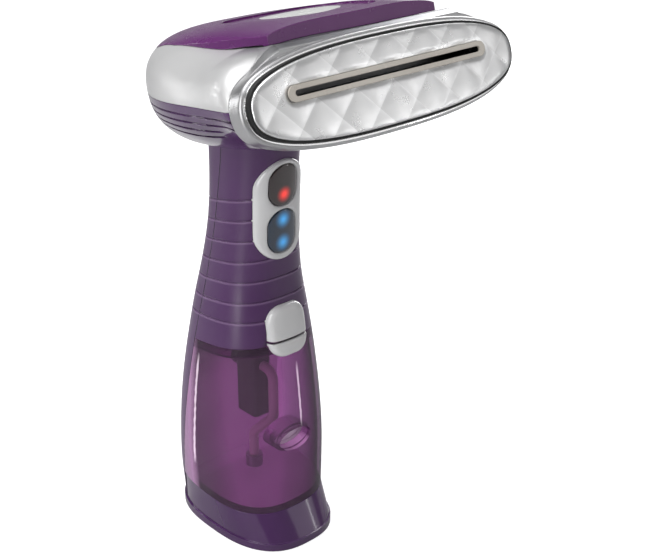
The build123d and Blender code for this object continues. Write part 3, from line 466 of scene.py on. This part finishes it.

# Painted highlights on the tank, drawn as glowing lines: strength, then the way the wall faces and
# the extent in metres
TANK_PAINTED_GLINTS = (
    (0.7, dict(facing=(-0.998, 0.055), width=0.013, bottom=0.036, top=0.100, axis="X",
               limit=0.0)),
    (0.5, dict(facing=(0.045, -0.999), width=0.010, bottom=0.062, top=0.098, axis="Y",
               limit=-0.01)),
)
paint(tank_material("tank_clear", clear="#d6bcd6", edge="#260a2c", body="#a876a5", glowing_veil=0.66,
                    painted_glints=TANK_PAINTED_GLINTS),
      "tank_shell")
paint(tank_material("tank_lid_clear", clear="#b58cb6", edge="#3a1642", body="#80527f", glowing_veil=0.5),
      "tank_cap")
RED_LENS = paint(lens_material("lens_red", ("#170707", "#2a0b0b"), glow="#ff2f22",
                               lamps=[((0.0, -0.031, 0.1840), 0.0030, 2.2)]),
                 "turbo_button")
BLUE_LENS = paint(lens_material("lens_blue", ("#0c1a28", "#15304a"), glow="#3fb2ff",
                                lamps=[((0.0, -0.030, 0.1715), 0.0034, 1.3),
                                       ((0.0, -0.030, 0.1600), 0.0034, 1.5)]),
                  "ready_lens")
paint(lamp_material(), "indicator_leds")


# ------------------------------------------------------------------
# outlines, distances and skins, in mm
# ------------------------------------------------------------------
def rounded_distance(x, y, width, height, radius):
    """Signed distance to a rounded rectangle, negative inside."""
    qx, qy = abs(x) - width / 2 + radius, abs(y) - height / 2 + radius
    return math.hypot(max(qx, 0), max(qy, 0)) + min(max(qx, qy), 0) - radius


def rounded_ring(width, height, radius, step, centre):
    """Points about a step apart on a rounded rectangle, moved up to its centre."""
    # the order of this arithmetic sets how many points fall on the straights
    w, h, r = width, height, radius
    corners = ((w / 2 - r, h / 2 - r, 0), (-w / 2 + r, h / 2 - r, 90),
               (-w / 2 + r, -h / 2 + r, 180), (w / 2 - r, -h / 2 + r, 270))
    count = int(math.pi / 2 * r / step)
    arcs = []
    for cx, cy, start in corners:
        for i in range(count + 1):
            angle = math.radians(start + 90 * i / count)
            arcs.append((cx + r * math.cos(angle), cy + r * math.sin(angle)))
    filled = []
    for p, q in zip(arcs, arcs[1:] + arcs[:1]):
        filled.append(p)
        parts = int(math.dist(p, q) / step)
        for j in range(1, parts):
            filled.append((p[0] + (q[0] - p[0]) * j / parts, p[1] + (q[1] - p[1]) * j / parts))
    # corners that meet without a straight share a point
    ring = [filled[0]]
    for p in filled[1:]:
        if math.dist(p, ring[-1]) > 1e-3:
            ring.append(p)
    if math.dist(ring[0], ring[-1]) < 1e-3:
        ring.pop()
    return [(x, y + centre) for x, y in ring]


def inset_rings(width, height, radius, step, centre, insets):
    """Rounded rectangles nested inwards, or outwards where the inset is negative."""
    return [rounded_ring(width - 2 * d, height - 2 * d, radius - d, step, centre)
            for d in insets]


def superellipse_ring(a, b, power, count):
    """Evenly spaced points on a superellipse."""
    points = []
    for i in range(count):
        angle = 2 * math.pi * i / count
        c, s = math.cos(angle), math.sin(angle)
        points.append((a * math.copysign(abs(c) ** (2 / power), c),
                       b * math.copysign(abs(s) ** (2 / power), s)))
    points.append(points[0])
    run = [0.0]
    for p, q in zip(points, points[1:]):
        run.append(run[-1] + math.dist(p, q))
    even = np.linspace(0, run[-1], count + 1)[:-1]
    return list(zip(np.interp(even, run, [p[0] for p in points]),
                    np.interp(even, run, [p[1] for p in points])))


def grid_points(x0, x1, y0, y1, spacing, keep):
    """Triangular grid of the points that keep accepts."""
    row_step = 0.866
    points = []
    for j in range(int((y1 - y0) / (spacing * row_step)) + 1):
        y = y0 + j * spacing * row_step
        for i in range(int((x1 - x0) / spacing) + 1):
            x = x0 + (i + 0.5 * (j % 2)) * spacing
            if keep(x, y):
                points.append((x, y))
    return points


def round_over(depth, radius):
    """Height lost at a depth inside an edge with this radius."""
    if depth >= radius:
        return 0.0
    depth = max(depth, 0.0)
    return radius - math.sqrt(max(radius * radius - (radius - depth) ** 2, 0.0))


def ease(value):
    """Smooth step from 0 to 1."""
    k = min(max(value, 0), 1)
    return k * k * (3 - 2 * k)


def link_object(name, data):
    made = bpy.data.objects.new(name, data)
    bpy.context.scene.collection.objects.link(made)
    return made


def mesh_object(name, bm, material):
    mesh = bpy.data.meshes.new(name)
    bm.to_mesh(mesh)
    bm.free()
    mesh.materials.append(material)
    return link_object(name, mesh)


def skin(name, rings, points, keep, place, material, push, lines=(), orient=True):
    """Solid wall: a flat triangulation kept by centroid, placed in space and pushed back.

    rings are closed and lines open; orient evens out the skin's normals before the push.
    """
    flat, edges = [], []
    for ring in rings:
        start = len(flat)
        flat += [Vector(p) for p in ring]
        edges += [(start + i, start + (i + 1) % len(ring)) for i in range(len(ring))]
    for line in lines:
        start = len(flat)
        flat += [Vector(p) for p in line]
        edges += [(start + i, start + i + 1) for i in range(len(line) - 1)]
    flat += [Vector(p) for p in points]
    flat, _, faces, *_ = delaunay_2d_cdt(flat, edges, [], 0, 1e-5)

    bm = bmesh.new()
    verts = [bm.verts.new([c * MM for c in place(p[0], p[1])]) for p in flat]
    for face in faces:
        cx = sum(flat[i][0] for i in face) / len(face)
        cy = sum(flat[i][1] for i in face) / len(face)
        if keep(cx, cy):
            # guards against the triangulation giving a face twice
            try:
                bm.faces.new([verts[i] for i in face])
            except ValueError:
                pass
    bmesh.ops.delete(bm, geom=[v for v in bm.verts if not v.link_faces], context="VERTS")
    for face in bm.faces:
        face.smooth = True
    if orient:
        bmesh.ops.recalc_face_normals(bm, faces=bm.faces)
    pushed = bmesh.ops.extrude_face_region(bm, geom=list(bm.faces))["geom"]
    for vert in [g for g in pushed if isinstance(g, bmesh.types.BMVert)]:
        vert.co += Vector(push) * MM
    bmesh.ops.recalc_face_normals(bm, faces=bm.faces)
    return mesh_object(name, bm, material)


def stand_in(made, body, piece):
    """Move with a body and take over from a CAD piece."""
    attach(made, body)
    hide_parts(piece)


def head_at(x, n, t):
    """Point in space from the head frame."""
    return (x, HEAD_Y - n * HEAD_COS + t * HEAD_SIN, HEAD_Z + n * HEAD_SIN + t * HEAD_COS)


# Handle sections, bottom up: z, half width, front y, rear y
GRIP = np.array([
    (-6.0, 30.0, -36.0, 37.2), (21.0, 30.8, -36.4, 37.2), (45.0, 31.8, -36.3, 36.2),
    (68.0, 31.2, -35.2, 33.8), (90.0, 29.4, -33.2, 30.4), (107.0, 27.4, -31.2, 27.0),
    (127.0, 24.2, -28.6, 23.0), (139.0, 22.2, -27.2, 20.0), (150.0, 20.9, -26.8, 17.2),
    (160.0, 19.8, -26.9, 15.2), (172.0, 18.9, -27.4, 13.6), (188.0, 18.3, -28.6, 12.8),
    (203.0, 18.2, -30.2, 12.8), (216.0, 18.2, -31.5, 13.0),
])
GRIP_Z = GRIP[:, 0]
GRIP_POWER = 2.6


def grip_section(column, z):
    """Cubic Hermite through one column of the handle sections."""
    v = GRIP[:, column]
    slope = np.gradient(v, GRIP_Z)
    i = int(np.clip(np.searchsorted(GRIP_Z, z) - 1, 0, len(GRIP_Z) - 2))
    h = GRIP_Z[i + 1] - GRIP_Z[i]
    t = (z - GRIP_Z[i]) / h
    return ((2 * t ** 3 - 3 * t ** 2 + 1) * v[i] + (t ** 3 - 2 * t ** 2 + t) * h * slope[i]
            + (-2 * t ** 3 + 3 * t ** 2) * v[i + 1] + (t ** 3 - t ** 2) * h * slope[i + 1])


def grip_y(x, z):
    """Front face of the handle."""
    half_width, front, rear = (grip_section(column, z) for column in (1, 2, 3))
    bulge = (1 - (abs(x) / half_width) ** GRIP_POWER) ** (1 / GRIP_POWER)
    return (front + rear) / 2 - (rear - front) / 2 * bulge


# ------------------------------------------------------------------
# quilted plate: polished pillows between pressed valleys
# ------------------------------------------------------------------
PLATE_A, PLATE_B, PLATE_POWER = 72.0, 17.7, 2.6    # half axes and superellipse power
PLATE_THICK = 2.6
PLATE_INSETS = (0.0, 0.12, 0.35, 0.8)
PLATE_SEGMENTS = 420
QUILT_STEPS = 16    # points along each side of a diamond
SLOT_T, SLOT_LENGTH, SLOT_HEIGHT = 3.4, 109.5, 6.6


def plate_depth(x, t):
    """Approximate distance inside the plate outline."""
    power = PLATE_POWER
    ax, at = abs(x) / PLATE_A, abs(t) / PLATE_B
    f = (ax ** power + at ** power) ** (1 / power)
    if f < 1e-6:
        return PLATE_B
    gx = (ax ** (power - 1)) / PLATE_A * f ** (1 - power)
    gt = (at ** (power - 1)) / PLATE_B * f ** (1 - power)
    return (1 - f) / math.hypot(gx, gt)


def slot_distance(x, t):
    return rounded_distance(x, t - SLOT_T, SLOT_LENGTH, SLOT_HEIGHT, SLOT_HEIGHT / 2)


def plate_height(x, t):
    u, v = (x + t) / QUILT_PITCH, (x - t) / QUILT_PITCH
    pu = 1 - abs(2 * (u - math.floor(u)) - 1) ** 2.0
    pv = 1 - abs(2 * (v - math.floor(v)) - 1) ** 2.0
    height = -0.5 + 0.36 * (0.12 * min(pu, pv) + 0.88 * pu * pv)
    # flat rim with a rounded edge, and a small drop at the very outline
    depth = plate_depth(x, t)
    e = ease(depth / 3.0)
    height = -0.55 * (1 - e) + height * e
    height -= round_over(depth, 0.9)
    if depth < 0.02:
        height -= 0.1
    # sunk around the slot
    k = ease((slot_distance(x, t) - 0.2) / 1.6)
    return -0.75 * (1 - k) + height * k


def build_plate():
    rings = [superellipse_ring(PLATE_A - d, PLATE_B - d, PLATE_POWER, PLATE_SEGMENTS)
             for d in PLATE_INSETS]
    rings += inset_rings(SLOT_LENGTH, SLOT_HEIGHT, SLOT_HEIGHT / 2, 0.6, SLOT_T, (0.15, -0.2))
    reach = range(-5 * QUILT_STEPS, 5 * QUILT_STEPS + 1)
    points = []
    for i in reach:
        for j in reach:
            x = (i + j) / 2 * QUILT_PITCH / QUILT_STEPS
            t = (i - j) / 2 * QUILT_PITCH / QUILT_STEPS
            if (abs(x) < PLATE_A and abs(t) < PLATE_B and plate_depth(x, t) > 1.25
                    and slot_distance(x, t) > 0.65):
                points.append((x, t))
    plate = skin("steam_plate_quilt", rings, points,
                 keep=lambda x, t: plate_depth(x, t) > -0.3 and slot_distance(x, t) > -0.14,
                 place=lambda x, t: head_at(x, plate_height(x, t), t), material=PLATE,
                 push=(0, PLATE_THICK * HEAD_COS, -PLATE_THICK * HEAD_SIN))
    stand_in(plate, "body", "steam_plate")


build_plate()

# ------------------------------------------------------------------
# the step above the plate runs out softly into the bezel at both ends
# ------------------------------------------------------------------
RUN_START, RUN_END, RUN_STATIONS = 46.5, 67.0, 28
FADE_START, FADE_LENGTH = 48.0, 18.5
RING_A, RING_B, RING_POWER = 75.5, 21.0, 2.6    # outline the step sinks into
FOOT_T, TOP_T = 20.15, 22.5


def ring_t(x):
    return RING_B * (1 - (abs(x) / RING_A) ** RING_POWER) ** (1 / RING_POWER)


def run_out(name, section, material):
    """Both end pieces; section is (n, full height t), with None for the buried corners."""
    bm = bmesh.new()
    corners = len(section)
    for side in (-1, 1):
        rows = []
        for i in range(RUN_STATIONS + 1):
            x = RUN_START + (RUN_END - RUN_START) * i / RUN_STATIONS
            fade = ease(1 - (x - FADE_START) / FADE_LENGTH)
            ring = ring_t(x)
            row = []
            for n, full in section:
                if full is None:
                    t = ring - 3.0
                else:
                    t = min(full, ring + fade * (full - ring_t(FADE_START)))
                row.append(bm.verts.new([v * MM for v in head_at(side * x, n, t)]))
            rows.append(row)
        for a, b in zip(rows, rows[1:]):
            for j in range(corners):
                k = (j + 1) % corners
                bm.faces.new((a[j], a[k], b[k], b[j])).smooth = True
        bm.faces.new(rows[0])
        bm.faces.new(list(reversed(rows[-1])))
        for a, b in zip(rows, rows[1:]):
            for j in range(corners):
                bm.edges.get((a[j], b[j])).smooth = False
    bmesh.ops.recalc_face_normals(bm, faces=bm.faces)
    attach(mesh_object(name, bm, material), "body")


run_out("step_run_out_front", ((-6.35, None), (-6.35, FOOT_T), (-10.4, TOP_T), (-10.4, None)),
        BEZEL)
run_out("step_run_out_rear", ((-10.6, None), (-10.6, TOP_T), (-25.8, TOP_T), (-25.8, None)),
        SILVER)

# ------------------------------------------------------------------
# control panel: domed surround and two domed lenses
# ------------------------------------------------------------------
PANEL_Z, PANEL_WIDTH, PANEL_HEIGHT = 176.3, 27.6, 50.0
LENSES = ((188.6, 16.6, 20.4), (165.6, 16.6, 21.6))    # centre z, width, height
LENS_RADIUS = 7.7
HOLE_GROW, HOLE_RADIUS = 0.16, 7.78    # holes are this much wider and taller than the lenses
CAP_SHRINK, CAP_RADIUS = 0.04, 7.68    # caps are this much narrower and shorter


def panel_distance(x, z):
    return rounded_distance(x, z - PANEL_Z, PANEL_WIDTH, PANEL_HEIGHT, PANEL_WIDTH / 2)


def lens_distance(x, z, grow=0.0):
    """Distance to the nearer lens outline."""
    return min(rounded_distance(x, z - centre, width + grow, height + grow,
                                LENS_RADIUS + grow / 2)
               for centre, width, height in LENSES)


def panel_height(x, z):
    hole = lens_distance(x, z, HOLE_GROW)
    height = 1.75
    height -= round_over(-panel_distance(x, z), 1.5) * 1.25
    height -= round_over(hole, 0.9) * 0.9
    height -= 0.35 * max(0.0, 1 - hole / 2.4) ** 2
    return height


def build_panel():
    rings = inset_rings(PANEL_WIDTH, PANEL_HEIGHT, PANEL_WIDTH / 2, 0.6, PANEL_Z,
                        (0.0, 0.08, 0.25, 0.55, 1.0, 1.5))
    for centre, width, height in LENSES:
        rings += inset_rings(width + HOLE_GROW, height + HOLE_GROW, HOLE_RADIUS, 0.6, centre,
                             (0.0, -0.08, -0.3, -0.6, -0.9))
    points = grid_points(-14, 14, PANEL_Z - 25, PANEL_Z + 25, 0.8,
                         lambda x, z: panel_distance(x, z) < -1.8 and lens_distance(x, z) > 1.3)
    panel = skin("panel_surround", rings, points,
                 keep=lambda x, z: (panel_distance(x, z) < 0.02
                                    and lens_distance(x, z, HOLE_GROW) > -0.02),
                 place=lambda x, z: (x, grip_y(x, z) - panel_height(x, z), z),
                 material=PEARL, push=(0, 2.2, 0))
    stand_in(panel, "body", "panel_bezel")


def build_lens(name, lens, material, body, piece):
    centre, width, height = lens
    width, height = width - CAP_SHRINK, height - CAP_SHRINK

    def distance(x, z):
        return rounded_distance(x, z - centre, width, height, CAP_RADIUS)

    def place(x, z):
        dome = 0.35 * (1 - ((x / 8.3) ** 2 + ((z - centre) / 10.5) ** 2) * 0.5)
        return (x, grip_y(x, z) - (1.15 - round_over(-distance(x, z), 0.8) + dome), z)

    rings = inset_rings(width, height, CAP_RADIUS, 0.55, centre, (0.0, 0.06, 0.2, 0.45, 0.8))
    points = grid_points(-9, 9, centre - 12, centre + 12, 0.75,
                         lambda x, z: distance(x, z) < -1.1)
    cap = skin(name, rings, points, keep=lambda x, z: distance(x, z) < 0.02, place=place,
               material=material, push=(0, 2.4, 0))
    stand_in(cap, body, piece)


build_panel()
build_lens("turbo_lens_cap", LENSES[0], RED_LENS, "turbo_key", "turbo_button")
build_lens("ready_lens_cap", LENSES[1], BLUE_LENS, "body", "ready_lens")

# ------------------------------------------------------------------
# release button and the tank tab under it, domed in one sweep
# ------------------------------------------------------------------
LATCH_WIDTH, LATCH_BOTTOM, LATCH_TOP, LATCH_RADIUS = 23.0, 103.0, 128.6, 8.0
LATCH_Z, LATCH_HEIGHT = (LATCH_BOTTOM + LATCH_TOP) / 2, LATCH_TOP - LATCH_BOTTOM
BUTTON_BOTTOM, LATCH_GAP = 112.3, 1.3


def latch_distance(x, z):
    return rounded_distance(x, z - LATCH_Z, LATCH_WIDTH, LATCH_HEIGHT, LATCH_RADIUS)


def latch_height(x, z):
    height = 3.1 - round_over(-latch_distance(x, z), 2.4) * 1.3
    height -= 0.6 * (abs(x) / (LATCH_WIDTH / 2)) ** 2.5
    height += 0.35 * math.cos((z - 117) / 14.0)
    return height


def build_latch(name, cut, inward, body, piece, thick):
    """The part of the latch outline above (inward 1) or below (inward -1) the cut."""
    def depth(z):
        return (z - cut) * inward

    rings = inset_rings(LATCH_WIDTH, LATCH_HEIGHT, LATCH_RADIUS, 0.6, LATCH_Z,
                        (0.0, 0.08, 0.3, 0.7, 1.3, 2.0))
    across = np.linspace(-LATCH_WIDTH / 2 - 0.5, LATCH_WIDTH / 2 + 0.5, 60)
    lines = [[(x, cut + inward * d) for x in across] for d in (0.0, 0.06, 0.25, 0.6)]
    points = grid_points(-12, 12, LATCH_Z - 13, LATCH_Z + 13, 0.8,
                         lambda x, z: latch_distance(x, z) < -2.3 and depth(z) > 0.9)
    cap = skin(name, rings, points,
               keep=lambda x, z: latch_distance(x, z) < 0.02 and depth(z) > 0,
               place=lambda x, z: (
                   x, grip_y(x, z) - (latch_height(x, z) - round_over(depth(z), 0.6)), z),
               material=PEARL, push=(0, thick, 0), lines=lines, orient=False)
    stand_in(cap, body, piece)


build_latch("release_button_cap", BUTTON_BOTTOM, 1, "release_key", "release_button", thick=5.6)
build_latch("latch_tab_cap", BUTTON_BOTTOM - LATCH_GAP, -1, "tank", "latch_tab", thick=2.0)

# ------------------------------------------------------------------
# camera, floor, light, in metres
# ------------------------------------------------------------------
CAMERA_RIGHT = Vector((0.737277, -0.675590, 0.0))
CAMERA_UP = Vector((0.276940, 0.302227, 0.912120))
CAMERA_BACK = Vector((-0.616219, -0.672486, 0.409923))


def build_camera():
    data = bpy.data.cameras.new("camera")
    camera = link_object("camera", data)
    bpy.context.scene.camera = camera
    data.sensor_fit = "HORIZONTAL"
    data.sensor_width = 36.0
    data.lens = 68.181818
    data.clip_start = 0.01
    data.clip_end = 20.0
    turn = Matrix((CAMERA_RIGHT, CAMERA_UP, CAMERA_BACK)).transposed()
    camera.rotation_mode = "QUATERNION"
    camera.rotation_quaternion = turn.to_quaternion()
    camera.location = Vector((-0.3473184, -0.4396659, 0.3833681))


def build_floor():
    """Floor along the view direction, swept up at the far end."""
    flat_end, sweep, half_width = 0.9, 0.7, 3.2
    profile = [(-1.6, 0.0), (flat_end, 0.0)]    # distance along the view, height
    for i in range(1, 11):
        angle = i / 10 * math.pi / 2
        profile.append((flat_end + sweep * math.sin(angle), sweep * (1 - math.cos(angle))))
    profile.append((1.6, 2.4))

    away = -CAMERA_BACK
    away.z = 0
    away.normalize()
    side = Vector((away.y, -away.x, 0))
    bm = bmesh.new()
    rows = [[bm.verts.new(away * s + side * (k * half_width) + Vector((0, 0, z)))
             for k in (-1, 1)] for s, z in profile]
    for a, b in zip(rows, rows[1:]):
        bm.faces.new((a[0], a[1], b[1], b[0])).smooth = True
    mesh_object("floor", bm, floor_material())


LIGHT_TARGET = Vector((0, -0.02, 0.15))
# Name, place, width, height, power in watts
LIGHTS = (
    ("key", (-0.95, -0.15, 0.45), 0.35, 1.1, 7.0),
    ("front", (0.72, -0.98, 0.36), 0.66, 0.56, 0.86),
    ("strip_left", (-0.56, 0.86, 0.25), 0.05, 0.9, 2.2),
    ("strip_right", (0.66, -0.75, 0.10), 0.035, 0.5, 0.3),
    ("top", (-0.1, -0.05, 1.1), 0.9, 0.7, 7.0),
    ("rim", (0.8, 0.35, 0.5), 0.25, 1.0, 5.0),
)


def build_lights():
    for name, place, width, height, power in LIGHTS:
        data = bpy.data.lights.new(name, "AREA")
        data.shape = "RECTANGLE"
        data.size = width
        data.size_y = height
        data.energy = power
        light = link_object(name, data)
        light.location = place
        light.rotation_mode = "QUATERNION"
        light.rotation_quaternion = (LIGHT_TARGET - Vector(place)).to_track_quat("-Z", "Y")


def build_world():
    """Grey sky, brighter upwards, that the camera itself sees as white."""
    world = bpy.data.worlds.new("studio")
    bpy.context.scene.world = world
    tree = Tree(world)
    # position from straight down to straight up, grey level
    greys = ((0.47, 0.14), (0.52, 0.22), (0.62, 0.27), (0.72, 0.28), (0.85, 0.5))
    stops = [(0.0, (0.12, 0.12, 0.13, 1))]
    stops += [(position, (grey, grey, grey * 1.01, 1)) for position, grey in greys]
    stops.append((1.0, (0.60, 0.60, 0.62, 1)))
    up = tree.split(tree.node("TexCoord").outputs["Generated"])["Z"]
    sky = tree.ramp(tree.remap(up, span=(-1.0, 1.0)), stops)
    camera_ray = tree.node("LightPath").outputs["Is Camera Ray"]
    tree.feed(tree.nodes["Background"],
              {"Color": tree.mix(camera_ray, sky, (1, 1, 1, 1)), "Strength": 1.0})


build_camera()
build_floor()
build_lights()
build_world()
bpy.context.scene.view_settings.view_transform = "Standard"
bpy.context.scene.view_settings.look = "None"
